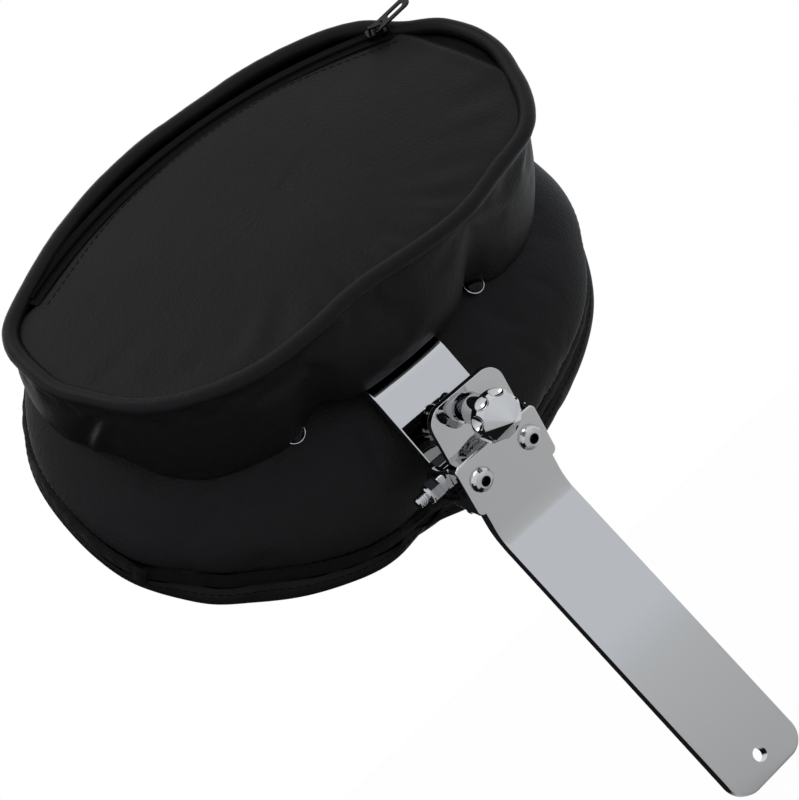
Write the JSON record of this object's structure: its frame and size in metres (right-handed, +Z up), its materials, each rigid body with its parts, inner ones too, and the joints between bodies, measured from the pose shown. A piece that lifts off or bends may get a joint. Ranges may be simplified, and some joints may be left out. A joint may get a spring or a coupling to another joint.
{
  "type": "motorcycle driver backrest",
  "caption": "Folding motorcycle driver backrest: oval padded cushion with a zipped rear pouch on a chromed plug-in blade with hinge and pointed recline-stop knob.",
  "frame": {"origin": "middle of the pin hole at the rear face of the blade", "axes": "+Z up along the blade, +Y to the rear where the pouch is, +X to the side of the hinge nut"},
  "size_m": [0.3543, 0.1958, 0.4837],
  "materials": {
    "chrome": "polished chrome plate",
    "steel": "bright zinc plated fastener",
    "bronze": "plain bearing bronze",
    "brass": "plain",
    "plate_black": "black paint",
    "shell_plastic": "moulded, textured",
    "foam": "cut foam",
    "vinyl": "grained black vinyl, low sheen",
    "piping": "grained black vinyl over cord",
    "band": "black woven closing tape",
    "snap_chrome": "polished",
    "tape": "black woven tape",
    "zip_black": "black"
  },
  "bodies": {
    "blade_side": {"blade": "chrome", "bracket": "chrome", "head_screws": "chrome", "hinge_bolt": "steel", "hinge_nut": "steel", "hinge_washers": "steel", "stop_nut": "steel"},
    "pad_side": {"hinge_block": "chrome", "hinge_bushes": "bronze", "strap": "chrome", "mount_plate": "plate_black", "mount_screws": "steel", "shell_inserts": "brass", "pad_shell": "shell_plastic", "pad_foam": "foam", "pad_back_cover": "vinyl", "pad_edge_band": "band", "pad_front_cover": "vinyl", "hem_snaps": "snap_chrome", "pouch_bag": "vinyl", "pouch_face": "vinyl", "pouch_piping": "piping", "zip_tapes": "tape", "zip_chain": "zip_black"},
    "stop_screw": {"stop_stud": "steel"},
    "knob": {"stop_knob": "chrome"},
    "slider": {"zip_slider": "zip_black"},
    "pull": {"zip_pull": "zip_black"}
  },
  "joints": [
    {"name": "fold", "type": "hinge", "parent": "blade_side", "child": "pad_side", "pos_m": [0, -0.00372, 0.21495], "axis": [1, 0, 0], "range_deg": [-20, 55]},
    {"name": "stop_travel", "type": "slide", "parent": "blade_side", "child": "stop_screw", "axis": [0, 0.8121, -0.5835], "range_m": [0, 0.01]},
    {"name": "knob_turn", "type": "hinge", "parent": "stop_screw", "child": "knob", "pos_m": [0, 0.04316, 0.22449], "axis": [0, 0.8121, -0.5835], "range_deg": [0, 2880.1]},
    {"name": "zip_run", "type": "hinge", "parent": "pad_side", "child": "slider", "pos_m": [0, 0.13904, 0.16773], "axis": [0, 0.891, 0.454], "range_deg": [0, 43.9]},
    {"name": "pull_swing", "type": "hinge", "parent": "slider", "child": "pull", "pos_m": [-0.121, 0.01057, 0.4311], "axis": [0.3817, 0.4196, -0.8235], "range_deg": [-27, 110]}
  ],
  "couplings": [
    {"joint": "knob_turn", "follows": "stop_travel", "rad_per_m": 5026.5}
  ]
}
